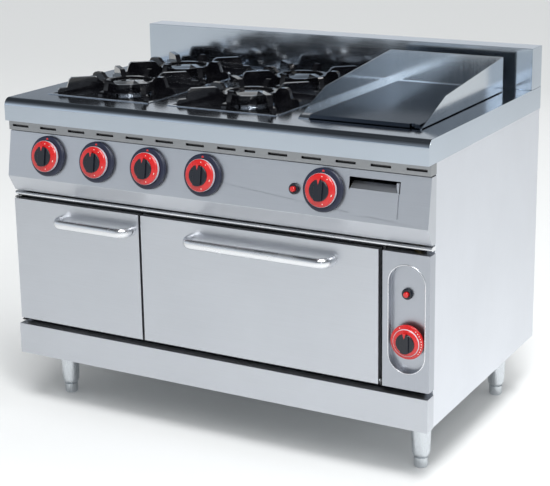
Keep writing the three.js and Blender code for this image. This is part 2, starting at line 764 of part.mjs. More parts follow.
function greaseDrawer() {
  const inset = ([a, b], by) => [a + by, b - by];
  const trayX = inset(DRAWER.trayX, 2);
  const plateX = [DRAWER.slotX[0] + 4, DRAWER.slotX[1] - 2];
  const floorZ = DRAWER.bottom + 1;
  const trayTopZ = 711;
  const plateTopZ = 719;
  const backY = 320;
  const wall = 1.5;
  // A (y, z) point at a height on the slope of the panel, behind its face (or before it).
  const onSlope = (z, behind) => [panelFaceY(z) + behind, z];
  const tray = cut(
    alongX(outline([onSlope(floorZ, -1), [backY, floorZ], [backY, trayTopZ], onSlope(trayTopZ, -1)]), ...trayX),
    alongX(outline([
      onSlope(floorZ + wall, wall),
      [backY - wall, floorZ + wall],
      [backY - wall, trayTopZ + 1],
      onSlope(trayTopZ + 1, wall),
    ]), ...inset(trayX, wall)),
  );
  // The front plate lies over the panel round the opening.
  const plate = alongX(outline([
    onSlope(floorZ - 4, -3.4),
    onSlope(floorZ - 4, -0.4),
    onSlope(plateTopZ, -0.4),
    onSlope(plateTopZ, -3.4),
  ]), ...plateX);
  const lipZ = DRAWER.slotZ[0] + 0.7;
  const lipY = panelFaceY(lipZ);
  const lip = alongX(outline([
    [lipY - 1.2, lipZ],
    [lipY + 2, lipZ],
    [lipY + 21, lipZ + 14],
    [lipY + 19, lipZ + 16],
    [lipY - 1.2, lipZ + 2],
  ]), ...plateX);
  // The right cheek closes the end of the slot and narrows downwards.
  const cheekZ = [lipZ, DRAWER.slotZ[1] - 3];
  const cheek = alongY(outline([
    [plateX[1] - 3, cheekZ[0]],
    [plateX[1], cheekZ[0]],
    [plateX[1], cheekZ[1]],
    [plateX[1] - 7, cheekZ[1]],
    [plateX[1] - 7, cheekZ[1] - 8],
  ]), -10, 40).intersect(alongX(outline([
    onSlope(cheekZ[0], -1),
    onSlope(cheekZ[0], 14),
    onSlope(cheekZ[1], 20),
    onSlope(cheekZ[1], -1),
  ]), plateX[1] - 10, plateX[1] + 1));
  return join(tray, plate, lip, cheek);
}

// ---- Gas supply -------------------------------------------------------------------------------------
function tap(control) {
  const body = rod(14, fromFace(control, -14), fromFace(control, -50), 8);
  const stem = rod(4, fromFace(control, 9), fromFace(control, -20), 10);
  const branch = rod(7, fromFace(control, -48), fromFace(control, -74), 6);
  return join(body, stem, branch);
}

function gasManifold() {
  const { y, z, inletX, inletZ, r } = MANIFOLD;
  const underDrawerZ = 640;
  const dropX = 372;
  const main = pipeRun(r, [
    [inletX, INLET_END_Y, inletZ],
    [inletX, y, inletZ],
    [inletX, y, z],
    [dropX, y, z],
    [dropX, y, underDrawerZ],
    [OVEN_KNOB.x, y, underDrawerZ],
    [OVEN_KNOB.x, y, OVEN_KNOB.z + 6],
  ]);
  const inletNut = rod(17, [inletX, DEPTH + 4, inletZ], [inletX, INLET_END_Y, inletZ], 6);
  const risers = topKnobs.map((knob) => {
    const [x, bodyY, bodyZ] = fromFace(knob, -42);
    return join(
      rod(4, [x, bodyY, bodyZ], [x, bodyY, TUBE_Z + 4], 6),
      rod(4, [x, bodyY - 4, TUBE_Z], [x, TUBE_MOUTH_Y - 5, TUBE_Z], 6),
    );
  });
  const ovenTap = tap(ovenKnob);
  const bridge = rod(10, [OVEN_KNOB.x, y, OVEN_KNOB.z + 6], [OVEN_KNOB.x, y, OVEN_KNOB.z - 8], 10);
  const feed = pipeRun(5, [
    [OVEN_KNOB.x, 70, OVEN_KNOB.z - 8],
    [OVEN_KNOB.x, 70, OVEN_BURNER_Z],
    [OVEN_KNOB.x, 110, OVEN_BURNER_Z],
    [500, 110, OVEN_BURNER_Z],
  ]);
  return join(main, inletNut, ...topKnobs.map(tap), ...risers, ovenTap, bridge, feed);
}

// ---- Knobs and buttons ------------------------------------------------------------------------------
// A skirted knob with a raised grip, turned about +Z and then set on its control's axis.
function knobShape(scale) {
  const s = scale;
  const hubTop = 14;
  const body = turned([
    [0, 13],
    [4.2, 13],
    [4.2, 3.5],
    [12, 3.5],
    [12, hubTop],
    [38 * s, hubTop],
    [38 * s, 20],
    [34 * s, 26],
    [25 * s, 29],
    [23.5 * s, 35],
    [22 * s, 37],
    [0, 37],
  ]);
  const ridge = 10 * s;
  const flats = [-1, 1].map((side) => block(
    [Math.min(side * ridge, side * 60), Math.max(side * ridge, side * 60)],
    [-60, 60],
    [32, 45],
  ));
  return cut(body, ...flats);
}

function buttonShape() {
  return turned([
    [0, -22],
    [6, -22],
    [6, -5],
    [8.8, -5],
    [8.8, 2],
    [6.8, 3],
    [6.8, 13],
    [5.6, 14.5],
    [0, 15],
  ], 14);
}

// ---- Feet ---------------------------------------------------------------------------------------------
function footCup() {
  return turned([
    [0, 105],
    [13, 105],
    [13, 30],
    [19, 30],
    [22.5, 38],
    [27, 140],
    [30, 142],
    [30, BASE_Z + 4 - GAP],
    [0, BASE_Z + 4 - GAP],
  ]);
}

function footAdjuster() {
  return turned([[0, 0], [15, 0], [17.5, 4], [18, 26], [15, 28.5], [12.4, 28.5], [12.4, 95], [0, 95]]);
}

// ---- Materials and assembly -----------------------------------------------------------------------------
function finish(color, roughness, metalness) {
  return new THREE.MeshStandardMaterial({ color, roughness, metalness });
}

const brushedSteel = finish(0xb4b9c3, 0.35, 0.9);
const chrome = finish(0xe8ebee, 0.1, 1);
const blackEnamel = finish(0x151719, 0.2, 0.2);
const darkIron = finish(0x33363a, 0.55, 0.6);
const griddleSteel = finish(0x5c6a78, 0.25, 0.9);
const redPlastic = finish(0xc81e1e, 0.3, 0);
const brass = finish(0xb59a4c, 0.35, 0.9);
const sealRubber = finish(0x2a2a2c, 0.8, 0);
const galvanised = finish(0x9aa0a4, 0.5, 0.8);

const range = new THREE.Group();
range.position.y = -CENTRE_Y;

function add(name, made, material, placement = null) {
  const mesh = new THREE.Mesh(geometryOf(made), material);
  mesh.name = name;
  if (placement) {
    mesh.position.set(...placement.position);
    mesh.rotation.x = placement.turn;
  }
  range.add(mesh);
}

// Shapes turned about +Z point out of the face once they are tipped forward.
function facingOut(control) {
  return { position: [control.x, control.y, control.z], turn: Math.PI / 2 - control.tilt };
}

add("base_frame", baseFrame(), galvanised);
add("left_side_panel", sidePanel(-1), brushedSteel);
add("right_side_panel", sidePanel(1), brushedSteel);
add("back_panel", backPanel(), galvanised);
add("plinth_panel", plinthPanel(), brushedSteel);
add("front_frame", frontFrame(), blackEnamel);
add("worktop", worktop(), brushedSteel);
add("backguard", backguard(), brushedSteel);
add("vent_strip", ventStrip(), brushedSteel);
add("control_panel", controlPanel(), brushedSteel);
add("trim_rail", trimRail(), chrome);
add("oven_column_panel", ovenColumnPanel(), brushedSteel);
add("centre_divider", centreDivider(), galvanised);
add("cabinet_floor", cabinetFloor(), galvanised);

add("oven_liner", ovenLiner(), blackEnamel);
add("oven_floor_plate", ovenFloorPlate(), darkIron);
add("oven_burner", ovenBurner(), darkIron);
add("oven_rack", ovenRack(), chrome);

add("oven_door_skin", ovenDoorSkin(), brushedSteel);
add("oven_door_liner", ovenDoorLiner(), blackEnamel);
add("oven_door_gasket", ovenDoorGasket(), sealRubber);
add("oven_door_handle", bowHandle(HANDLE_SPANS.oven), chrome);
add("cabinet_door_skin", cabinetDoorSkin(), brushedSteel);
add("cabinet_door_liner", cabinetDoorLiner(), brushedSteel);
add("cabinet_door_handle", bowHandle(HANDLE_SPANS.cabinet), chrome);

add("griddle_plate", griddlePlate(), griddleSteel);
add("griddle_splash_guard", griddleGuard(), brushedSteel);
add("griddle_burner", griddleBurner(), darkIron);
add("grease_drawer", greaseDrawer(), brushedSteel);
add("gas_manifold", gasManifold(), brass);

["left", "right"].forEach((side, i) => {
  add(`${side}_drip_pan`, dripPan(PAN_X[i]), brushedSteel);
  ["front", "rear"].forEach((row, j) => {
    const place = `${side}_${row}`;
    const tube = MIXING_TUBES[place].map(([x, y]) => [x, y, TUBE_Z]);
    add(`${place}_burner`, burnerBody(PAN_X[i], BURNER_Y[j], tube), darkIron);
    add(`${place}_burner_cap`, burnerCap(PAN_X[i], BURNER_Y[j]), blackEnamel);
    add(`${place}_trivet`, trivet(PAN_X[i], BURNER_Y[j]), blackEnamel);
  });
});

const KNOB_NAMES = ["left_front_knob", "left_rear_knob", "right_front_knob", "right_rear_knob", "griddle_knob"];
KNOB_NAMES.forEach((name, i) => add(name, knobShape(1), redPlastic, facingOut(topKnobs[i])));
add("oven_knob", knobShape(OVEN_KNOB.scale), redPlastic, facingOut(ovenKnob));
add("griddle_igniter_button", buttonShape(), redPlastic, facingOut(panelButton));
add("oven_igniter_button", buttonShape(), redPlastic, facingOut(ovenButton));

[-1, 1].forEach((side) => {
  FOOT_Y.forEach((y, row) => {
    const place = `${row === 0 ? "front" : "rear"}_${side < 0 ? "left" : "right"}`;
    add(`${place}_foot_cup`, moved(footCup(), side * FOOT_X, y, 0), brushedSteel);
    add(`${place}_foot`, moved(footAdjuster(), side * FOOT_X, y, 0), chrome);
  });
});

export default range;
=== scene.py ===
"""Looks of the commercial gas range: materials, knobs, dials, small fittings, studio and camera.

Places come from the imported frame; sizes of the pieces made here are stated beside them.
Lengths are in metres.
"""
import json
import math

import bmesh
import bpy
from mathutils import Euler, Matrix, Vector


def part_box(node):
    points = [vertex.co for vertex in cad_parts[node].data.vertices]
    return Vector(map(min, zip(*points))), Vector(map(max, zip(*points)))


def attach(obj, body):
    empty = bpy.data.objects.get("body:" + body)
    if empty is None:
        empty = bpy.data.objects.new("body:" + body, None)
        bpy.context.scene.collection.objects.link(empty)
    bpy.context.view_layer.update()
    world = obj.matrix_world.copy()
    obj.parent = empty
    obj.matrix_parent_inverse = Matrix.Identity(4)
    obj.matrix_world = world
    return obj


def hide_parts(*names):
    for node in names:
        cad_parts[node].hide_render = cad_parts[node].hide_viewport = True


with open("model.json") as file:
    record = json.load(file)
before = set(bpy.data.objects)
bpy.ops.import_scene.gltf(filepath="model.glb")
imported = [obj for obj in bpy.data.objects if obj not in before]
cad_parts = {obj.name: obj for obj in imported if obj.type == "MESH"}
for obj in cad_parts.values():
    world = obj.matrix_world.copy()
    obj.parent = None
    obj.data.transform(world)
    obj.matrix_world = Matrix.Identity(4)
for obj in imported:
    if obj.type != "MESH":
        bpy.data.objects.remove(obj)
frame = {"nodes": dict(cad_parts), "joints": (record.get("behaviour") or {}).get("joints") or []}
NODES = frame["nodes"]
JOINTS = {joint["child"]: joint for joint in frame["joints"]}
ROOT = "range_body"
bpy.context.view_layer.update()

PLACES = ["left_front", "left_rear", "right_front", "right_rear"]
PANEL_KNOBS = [f"{place}_knob" for place in PLACES] + ["griddle_knob"]
IGNITERS = ["griddle_igniter_button", "oven_igniter_button"]
FEET = ["front_left", "front_right", "rear_left", "rear_right"]


# ---- Camera ---------------------------------------------------------------------------------
def make_camera():
    """The photograph's viewing angle, fitted to the corners of the body."""
    data = bpy.data.cameras.new("camera")
    data.sensor_width = 36
    data.lens = 93.3
    data.shift_x = -0.0545
    data.shift_y = -0.109
    camera = bpy.data.objects.new("camera", data)
    bpy.context.scene.collection.objects.link(camera)
    yaw = math.radians(28.23)
    pitch = math.radians(14.13)
    roll = math.radians(-0.57)
    upright = Euler((math.pi / 2 - pitch, 0, yaw), "XYZ").to_matrix()
    camera.rotation_euler = (upright @ Matrix.Rotation(roll, 3, "Z")).to_euler()
    camera.location = (1.815, -3.222, 1.533)
    bpy.context.scene.camera = camera


# ---- Material helpers -------------------------------------------------------------------------
# Sockets of a Mix node that mixes colours.
MIX_FACTOR, MIX_A, MIX_B = 0, 6, 7
MIX_RESULT = 2


def new_material(name, colour, metallic=0.0, roughness=0.5, **more):
    material = bpy.data.materials.new(name)
    material.use_nodes = True
    shader = material.node_tree.nodes["Principled BSDF"]
    shader.inputs["Base Color"].default_value = (*colour, 1)
    shader.inputs["Metallic"].default_value = metallic
    shader.inputs["Roughness"].default_value = roughness
    for socket, value in more.items():
        shader.inputs[socket.replace("_", " ")].default_value = value
    return material, shader


def add_node(material, kind, inputs, **settings):
    """Adds a node; an input is a plain value or the output socket it is linked to."""
    tree = material.node_tree
    node = tree.nodes.new(kind)
    for key, value in settings.items():
        setattr(node, key, value)
    for key, value in inputs.items():
        if isinstance(value, bpy.types.NodeSocket):
            tree.links.new(value, node.inputs[key])
        else:
            node.inputs[key].default_value = value
    return node


def noise(material, scale, stretch=(1, 1, 1), detail=3.0, roughness=0.5):
    """Noise in the object's own space; stretch over 1 makes it finer along that axis."""
    coordinates = add_node(material, "ShaderNodeTexCoord", {})
    mapping = add_node(
        material, "ShaderNodeMapping", {"Vector": coordinates.outputs["Object"], "Scale": stretch}
    )
    texture = add_node(
        material,
        "ShaderNodeTexNoise",
        {
            "Vector": mapping.outputs["Vector"],
            "Scale": scale,
            "Detail": detail,
            "Roughness": roughness,
        },
    )
    return texture.outputs["Fac"]


def remap(material, value, low, high, from_low=0.25, from_high=0.75):
    """Stretches a value over low to high; noise lies mostly between 0.25 and 0.75."""
    node = add_node(
        material,
        "ShaderNodeMapRange",
        {
            "Value": value,
            "From Min": from_low,
            "From Max": from_high,
            "To Min": low,
            "To Max": high,
        },
    )
    return node.outputs["Result"]


def blend_colours(material, factor, colour_a, colour_b):
    """colour_a where factor is 0 and colour_b where it is 1; each is a colour or a socket."""
    full = [c if isinstance(c, bpy.types.NodeSocket) else (*c, 1) for c in (colour_a, colour_b)]
    inputs = {MIX_FACTOR: factor, MIX_A: full[0], MIX_B: full[1]}
    return add_node(material, "ShaderNodeMix", inputs, data_type="RGBA").outputs[MIX_RESULT]


def math_node(material, operation, a, b):
    return add_node(material, "ShaderNodeMath", {0: a, 1: b}, operation=operation).outputs[0]


def plug(material, shader, **sockets):
    for socket, value in sockets.items():
        material.node_tree.links.new(value, shader.inputs[socket.replace("_", " ")])


def bump(material, shader, height, strength, distance):
    node = add_node(
        material, "ShaderNodeBump", {"Height": height, "Strength": strength, "Distance": distance}
    )
    plug(material, shader, Normal=node.outputs["Normal"])


def shade(colour, factor):
    return tuple(channel * factor for channel in colour)


# ---- Materials --------------------------------------------------------------------------------
GRAIN = {"x": (0.012, 1, 1), "y": (1, 0.012, 1), "z": (1, 1, 0.012)}


def brushed_steel(name, colour, roughness, grain="x", waviness=0.05):
    """Sheet with fine brush lines, faint smears and a very slight unevenness of the sheet."""
    material, shader = new_material(name, colour, metallic=1.0, roughness=roughness)
    lines = noise(material, 900, GRAIN[grain], detail=4)
    smears = noise(material, 5, GRAIN[grain], detail=3)
    cloud = noise(material, 3.5, detail=4, roughness=0.6)
    half_lines = remap(material, lines, 0.0, 0.5)
    half_cloud = remap(material, cloud, 0.0, 0.5)
    tone = math_node(material, "ADD", half_lines, half_cloud)
    tinted = blend_colours(material, tone, shade(colour, 0.93), shade(colour, 1.05))
    plug(material, shader, Base_Color=tinted)
    rough = math_node(
        material,
        "ADD",
        remap(material, lines, roughness - 0.05, roughness + 0.05),
        remap(material, smears, -0.03, 0.03),
    )
    plug(material, shader, Roughness=rough)
    height = math_node(
        material, "ADD", remap(material, lines, 0, 0.04), remap(material, cloud, 0, waviness * 20)
    )
    bump(material, shader, height, 0.25, 0.0006)
    return material


def polished_metal(name, colour, roughness):
    """Chromed bar and tube, with faint wiping marks."""
    material, shader = new_material(name, colour, metallic=1.0, roughness=roughness)
    wipes = noise(material, 60, (0.2, 1, 1), detail=5)
    stains = noise(material, 12, detail=4)
    plug(material, shader, Roughness=remap(material, wipes, roughness * 0.6, roughness * 1.8))
    plug(material, shader, Base_Color=blend_colours(material, stains, shade(colour, 0.92), colour))
    bump(material, shader, wipes, 0.05, 0.0002)
    return material


def galvanised(name, colour):
    """Zinc-coated sheet with its crystal pattern."""
    material, shader = new_material(name, colour, metallic=0.9, roughness=0.45)
    coordinates = add_node(material, "ShaderNodeTexCoord", {})
    crystals = add_node(
        material, "ShaderNodeTexVoronoi", {"Vector": coordinates.outputs["Object"], "Scale": 70}
    )
    grey = remap(material, crystals.outputs["Color"], 0, 1, 0, 1)
    tinted = blend_colours(material, grey, shade(colour, 0.85), shade(colour, 1.1))
    plug(material, shader, Base_Color=tinted)
    plug(material, shader, Roughness=remap(material, grey, 0.38, 0.55, 0, 1))
    bump(material, shader, noise(material, 500, detail=2), 0.1, 0.0003)
    return material


def enamel(name, colour, roughness=0.16):
    """Vitreous enamel: glossy, with orange peel and pale specks."""
    material, shader = new_material(name, colour, roughness=roughness, Coat_Weight=0.4)
    specks = remap(material, noise(material, 650, detail=1), 0, 1, 0.70, 0.74)
    pale = tuple(0.25 + channel * 0.3 for channel in colour)
    plug(material, shader, Base_Color=blend_colours(material, specks, colour, pale))
    dulled = remap(material, noise(material, 9, detail=4), roughness, roughness + 0.12)
    plug(material, shader, Roughness=dulled)
    bump(material, shader, noise(material, 260, detail=2), 0.15, 0.0006)
    return material


def cast_iron(name, colour, roughness, grit):
    """Cast metal: sand-cast skin under the enamel, scuffed duller in patches."""
    gloss = {"Coat_Weight": 0.6, "Coat_Roughness": 0.05} if roughness < 0.2 else {}
    material, shader = new_material(name, colour, roughness=roughness, **gloss)
    skin = noise(material, 420, detail=4, roughness=0.6)
    patches = noise(material, 22, detail=5, roughness=0.6)
    plug(material, shader, Roughness=remap(material, patches, roughness * 0.7, roughness * 1.7))
    worn = remap(material, patches, 0, 1, 0.5, 0.85)
    bare = tuple(0.008 + channel * 1.6 for channel in colour)
    plug(material, shader, Base_Color=blend_colours(material, worn, colour, bare))
    bump(material, shader, skin, grit, 0.0008)
    return material


def griddle_steel():
    """Ground and polished plate with faint scraper marks front to back and a heat tint; its
    near-black colour is painted shade that darkens the plate's reflections.
    """
    # Painted shade: a near-black colour for the steel, so that the plate's reflections come out
    # dark.
    colour = (0.07, 0.085, 0.11)
    edge_tint = (0.60, 0.63, 0.66, 1)
    material, shader = new_material(
        "griddle_steel", colour, metallic=1.0, roughness=0.13, Specular_Tint=edge_tint
    )
    marks = noise(material, 500, (1, 0.02, 1), detail=4)
    tint = noise(material, 6, detail=4)
    tinted = blend_colours(material, tint, shade(colour, 0.94), shade(colour, 1.05))
    plug(material, shader, Base_Color=tinted)
    plug(material, shader, Roughness=remap(material, marks, 0.11, 0.16))
    bump(material, shader, marks, 0.03, 0.0002)
    return material


def gloss_plastic(name, colour, roughness=0.14, coat=0.5):
    """Moulded plastic with a faint texture and dulled fingerprints."""
    material, shader = new_material(
        name, colour, roughness=roughness, Coat_Weight=coat, Coat_Roughness=0.06
    )
    prints = noise(material, 120, detail=4)
    plug(material, shader, Roughness=remap(material, prints, roughness, roughness + 0.14))
    mottled = noise(material, 40, detail=3)
    tinted = blend_colours(material, mottled, shade(colour, 0.88), shade(colour, 1.06))
    plug(material, shader, Base_Color=tinted)
    bump(material, shader, noise(material, 1500, detail=1), 0.04, 0.0002)
    return material


def woven_seal():
    """Braided door seal."""
    colour = (0.05, 0.05, 0.05)
    material, shader = new_material("woven_seal", colour, roughness=0.85)
    coordinates = add_node(material, "ShaderNodeTexCoord", {})
    braid = add_node(
        material,
        "ShaderNodeTexWave",
        {"Vector": coordinates.outputs["Object"], "Scale": 160, "Distortion": 1.5},
        bands_direction="DIAGONAL",
    )
    strands = braid.outputs["Fac"]
    tinted = blend_colours(material, strands, shade(colour, 0.5), shade(colour, 2))
    plug(material, shader, Base_Color=tinted)
    bump(material, shader, strands, 0.6, 0.0006)
    return material


def brass_pipe():
    """Tarnished brass."""
    colour = (0.62, 0.47, 0.20)
    material, shader = new_material("brass_pipe", colour, metallic=1.0, roughness=0.32)
    tarnish = noise(material, 25, detail=5)
    tinted = blend_colours(material, tarnish, shade(colour, 0.6), shade(colour, 1.1))
    plug(material, shader, Base_Color=tinted)
    plug(material, shader, Roughness=remap(material, tarnish, 0.5, 0.25))
    bump(material, shader, noise(material, 300, detail=2), 0.1, 0.0003)
    return material


STEEL = (0.55, 0.57, 0.605)
MATERIALS = {
    "body": brushed_steel("body_steel", STEEL, 0.36),
    # Painted shade: the column's steel is a darker copy of the body steel, standing for the shade
    # on the oven's column.
    "column": brushed_steel("column_steel_painted_shade", (0.43, 0.45, 0.49), 0.34, grain="z"),
    "side": brushed_steel("side_steel", (0.70, 0.72, 0.76), 0.40, grain="z"),
    # Painted shade: the vent strip's steel is a darker copy, standing for the shade under the front
    # edge of the worktop.
    "strip": brushed_steel("strip_steel_painted_shade", (0.34, 0.35, 0.36), 0.40),
    "top": brushed_steel("top_steel", (0.54, 0.60, 0.67), 0.13, waviness=0.02),
    "splashback": brushed_steel("splashback_steel", (0.54, 0.60, 0.67), 0.13, waviness=0.02),
    "guard": brushed_steel("guard_steel", (0.64, 0.69, 0.74), 0.145, grain="z", waviness=0.02),
    "pan": brushed_steel("pan_steel", (0.62, 0.66, 0.72), 0.12, waviness=0.02),
    "chrome": polished_metal("bright_chrome", (0.84, 0.85, 0.87), 0.20),
    "foot": brushed_steel("foot_steel", (0.62, 0.65, 0.68), 0.28, grain="z"),
    "zinc": galvanised("zinc_sheet", (0.52, 0.54, 0.56)),
    "enamel": enamel("black_enamel", (0.012, 0.012, 0.014)),
    "trivet": cast_iron("trivet_iron", (0.003, 0.003, 0.004), 0.08, 0.06),
    "cap": cast_iron("cap_iron", (0.004, 0.004, 0.005), 0.10, 0.06),
    "iron": cast_iron("plain_iron", (0.07, 0.075, 0.08), 0.5, 0.5),
    "griddle": griddle_steel(),
    "red": gloss_plastic("red_plastic", (0.56, 0.010, 0.010), 0.24),
    "black": gloss_plastic("black_plastic", (0.005, 0.007, 0.013), 0.26, coat=0.05),
    "navy": gloss_plastic("dial_plastic", (0.010, 0.014, 0.036), 0.34, coat=0.1),
    "white": gloss_plastic("white_print", (0.8, 0.78, 0.72), 0.4),
    # Pale plastic for the band round each knob skirt: a painted highlight standing for the gloss
    # highlight on the red plastic.
    "painted_highlight": gloss_plastic("painted_highlight_band", (0.60, 0.60, 0.66), 0.25),
    "seal": woven_seal(),
    "brass": brass_pipe(),
}

NODE_LOOKS = {
    "body": [
        "plinth_panel",
        "control_panel",
        "oven_door_skin",
        "cabinet_door_skin",
        "cabinet_door_liner",
        "grease_drawer",
    ],
    "column": ["oven_column_panel"],
    "strip": ["vent_strip"],
    "side": ["left_side_panel", "right_side_panel"],
    "top": ["worktop"],
    "splashback": ["backguard"],
    "guard": ["griddle_splash_guard"],
    "pan": ["left_drip_pan", "right_drip_pan"],
    "chrome": ["trim_rail", "oven_door_handle", "cabinet_door_handle", "oven_rack"],
    "foot": [f"{foot}_foot_cup" for foot in FEET] + [f"{foot}_foot" for foot in FEET],
    "zinc": ["base_frame", "back_panel", "centre_divider", "cabinet_floor"],
    "enamel": ["front_frame", "oven_liner", "oven_door_liner"],
    "trivet": [f"{place}_trivet" for place in PLACES],
    "cap": [f"{place}_burner_cap" for place in PLACES],
    "iron": [
        "oven_floor_plate",
        "oven_burner",
        "griddle_burner",
        *[f"{place}_burner" for place in PLACES],
    ],
    "griddle": ["griddle_plate"],
    "red": IGNITERS,
    "seal": ["oven_door_gasket"],
    "brass": ["gas_manifold"],
}

# Radius of the rounded edges of carried-over nodes, and of those not in the list.
PLAIN_EDGE_RADIUS = 0.0004
EDGE_RADIUS = {
    "worktop": 0.0012,
    "backguard": 0.0012,
    "control_panel": 0.0012,
    "plinth_panel": 0.0015,
    "oven_column_panel": 0.0012,
    "oven_door_skin": 0.0015,
    "cabinet_door_skin": 0.0015,
    "griddle_splash_guard": 0.0008,
    "griddle_plate": 0.0015,
    "left_side_panel": 0.0008,
    "right_side_panel": 0.0008,
    **{f"{place}_trivet": 0.0028 for place in PLACES},
}


# A sharper bend than this, in degrees, is an edge.
CREASE = 35


# ---- Edge finish of the carried-over nodes -------------------------------------------------------
def smoothing_group(angle):
    """A geometry node group that shades smooth except across edges sharper than the angle."""
    group = bpy.data.node_groups.new("smooth_by_angle", "GeometryNodeTree")
    group.interface.new_socket("Geometry", in_out="INPUT", socket_type="NodeSocketGeometry")
    group.interface.new_socket("Geometry", in_out="OUTPUT", socket_type="NodeSocketGeometry")
    nodes, links = group.nodes, group.links
    start = nodes.new("NodeGroupInput")
    end = nodes.new("NodeGroupOutput")
    bare = nodes.new("GeometryNodeRemoveAttribute")
    bare.inputs["Name"].default_value = "custom_normal"
    faces = nodes.new("GeometryNodeSetShadeSmooth")
    edges = nodes.new("GeometryNodeSetShadeSmooth")
    edges.domain = "EDGE"
    between = nodes.new("GeometryNodeInputMeshEdgeAngle")
    compare = nodes.new("FunctionNodeCompare")
    compare.operation = "LESS_THAN"
    compare.inputs[1].default_value = math.radians(angle)
    links.new(between.outputs["Unsigned Angle"], compare.inputs[0])
    links.new(start.outputs[0], bare.inputs["Geometry"])
    links.new(bare.outputs["Geometry"], faces.inputs["Geometry"])
    links.new(faces.outputs["Geometry"], edges.inputs["Geometry"])
    links.new(compare.outputs["Result"], edges.inputs["Shade Smooth"])
    links.new(edges.outputs["Geometry"], end.inputs[0])
    return group


SMOOTHING = smoothing_group(CREASE)


def smooth_by_angle(obj):
    smooth = obj.modifiers.new("smooth", "NODES")
    smooth.node_group = SMOOTHING
    flat = obj.modifiers.new("flat_faces", "WEIGHTED_NORMAL")
    flat.keep_sharp = True
    flat.weight = 90


def finish_edges(obj, radius):
    weld = obj.modifiers.new("weld", "WELD")
    weld.merge_threshold = 1e-5
    if radius:
        rounding = obj.modifiers.new("rounding", "BEVEL")
        rounding.width = radius
        rounding.segments = 2
        rounding.limit_method = "ANGLE"
        rounding.angle_limit = math.radians(CREASE)
    smooth_by_angle(obj)


def dress_nodes():
    for look, names in NODE_LOOKS.items():
        for name in names:
            obj = NODES[name]
            obj.data.materials.clear()
            obj.data.materials.append(MATERIALS[look])
            finish_edges(obj, EDGE_RADIUS.get(name, PLAIN_EDGE_RADIUS))


# ---- Piece helpers -----------------------------------------------------------------------------
def new_piece(name, mesh_data, materials, body, place=None):
    """Links a bmesh as a finished piece that rides on a body."""
    mesh = bpy.data.meshes.new(name)
    mesh_data.to_mesh(mesh)
    mesh_data.free()
    if place:
        mesh.transform(place)
    obj = bpy.data.objects.new(name, mesh)
    bpy.context.scene.collection.objects.link(obj)
    for material in materials:
        mesh.materials.append(MATERIALS[material])
    smooth_by_angle(obj)
    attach(obj, body)
    return obj


def add_lathe(mesh_data, profile, segments=64, material=0):
    """Turns a closed (radius, height) outline, in metres, about the Z axis."""
    rings = []
    for i in range(segments):
        angle = 2 * math.pi * i / segments
        rings.append(
            [mesh_data.verts.new((r * math.cos(angle), r * math.sin(angle), h)) for r, h in profile]
        )
    for i in range(segments):
        here, there = rings[i], rings[(i + 1) % segments]
        for j in range(len(profile)):
            k = (j + 1) % len(profile)
            corners = [here[j], there[j], there[k], here[k]]
            face = mesh_data.faces.new(corners)
            face.material_index = material
    mesh_data.normal_update()


def rounded_profile(points, radius, steps=4):
    """Rounds the corners of a closed outline of (radius, height) points."""
    result = []
    count = len(points)
    for i, point in enumerate(points):
        corner = Vector(point)
        before = Vector(points[i - 1]) - corner
        after = Vector(points[(i + 1) % count]) - corner
        reach = min(radius, before.length * 0.45, after.length * 0.45)
        start = corner + before.normalized() * reach
        end = corner + after.normalized() * reach
        for step in range(steps + 1):
            t = step / steps
            result.append(tuple(start * (1 - t) ** 2 + corner * 2 * t * (1 - t) + end * t**2))
    return result


def add_prism(mesh_data, outline, low, high, bevel=0.0, material=0):
    """A flat outline of (x, y) points raised from low to high along Z, with rounded edges."""
    made = bmesh.new()
    bottom = [made.verts.new((x, y, low)) for x, y in outline]
    top = [made.verts.new((x, y, high)) for x, y in outline]
    made.faces.new(bottom[::-1])
    made.faces.new(top)
    for i in range(len(outline)):
        j = (i + 1) % len(outline)
        made.faces.new([bottom[i], bottom[j], top[j], top[i]])
    if bevel:
        bmesh.ops.bevel(
            made,
            geom=list(made.edges),
            offset=bevel,
            segments=3,
            profile=0.6,
            affect="EDGES",
            clamp_overlap=True,
        )
    append(mesh_data, made, material)


def append(mesh_data, made, material=0, place=None):
    """Moves a temporary bmesh's faces into another."""
    if place:
        bmesh.ops.transform(made, matrix=place, verts=made.verts)
    new_verts = {vert: mesh_data.verts.new(vert.co) for vert in made.verts}
    for face in made.faces:
        copied = mesh_data.faces.new([new_verts[vert] for vert in face.verts])
        copied.material_index = material
    made.free()


def facing_out(child):
    """The placing of a control: its joint's point, +Z straight out of the face, +Y upwards."""
    joint = JOINTS[child]
    out = Vector(joint["axis"])
    if out.y > 0:
        out = -out
    low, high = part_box(child)
    point = Vector(joint["pos_m"]) if "pos_m" in joint else (Vector(low) + Vector(high)) / 2
    across = Vector((1, 0, 0))
    up = out.cross(across)
    rotation = Matrix((across, up, out)).transposed().to_4x4()
    return Matrix.Translation(point) @ rotation


# ---- Knobs and dials -----------------------------------------------------------------------------
# Heights above the panel of the underside and of the face of a knob's skirt.
SKIRT_BASE = 0.0126
FACE = 0.0280
DOT_RADIUS = 0.0013
SKIRT_COLOURS = ["red", "white", "painted_highlight"]
RED, WHITE, PAINTED_HIGHLIGHT = range(3)


